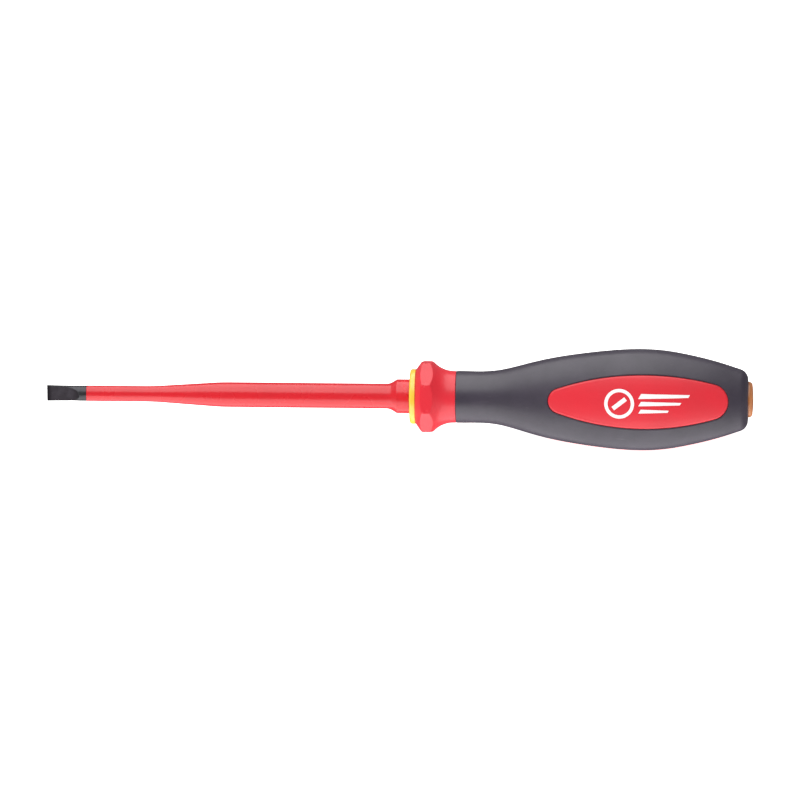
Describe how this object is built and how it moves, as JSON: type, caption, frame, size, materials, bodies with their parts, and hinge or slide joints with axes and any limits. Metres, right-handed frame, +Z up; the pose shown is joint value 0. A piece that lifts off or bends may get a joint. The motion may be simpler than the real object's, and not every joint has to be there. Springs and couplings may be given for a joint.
{
  "type": "insulated screwdriver",
  "caption": "Slotted screwdriver with a red insulated blade, yellow ring, eight-sided anti-roll nose and three-lobed soft grip with oval panels.",
  "frame": {"origin": "middle of the end face of the blade's tip, on the blade's axis", "axes": "+X along the blade's axis from the tip to the butt; +Z up, with one flat of the handle and its panel facing -Z; +Y completes the frame"},
  "size_m": [0.2433, 0.0348, 0.0349],
  "materials": {
    "blade_steel": "black-burnished, ground at the tip",
    "contrast_layer": "moulded",
    "red_insulation": "smooth moulded, satin gloss",
    "yellow_ring": "smooth moulded",
    "red_nose": "smooth moulded, satin",
    "core": "moulded",
    "grip_rubber": "fine matt texture",
    "red_panel": "smooth moulded, satin",
    "amber_cap": "smooth moulded"
  },
  "bodies": {
    "root": {"blade": "blade_steel", "inner_insulation": "contrast_layer", "outer_insulation": "red_insulation", "front_ring": "yellow_ring", "bolster": "red_nose", "handle_core": "core", "grip": "grip_rubber", "panel_left": "red_panel", "panel_right": "red_panel", "panel_under": "red_panel", "end_cap": "amber_cap"}
  },
  "joints": []
}
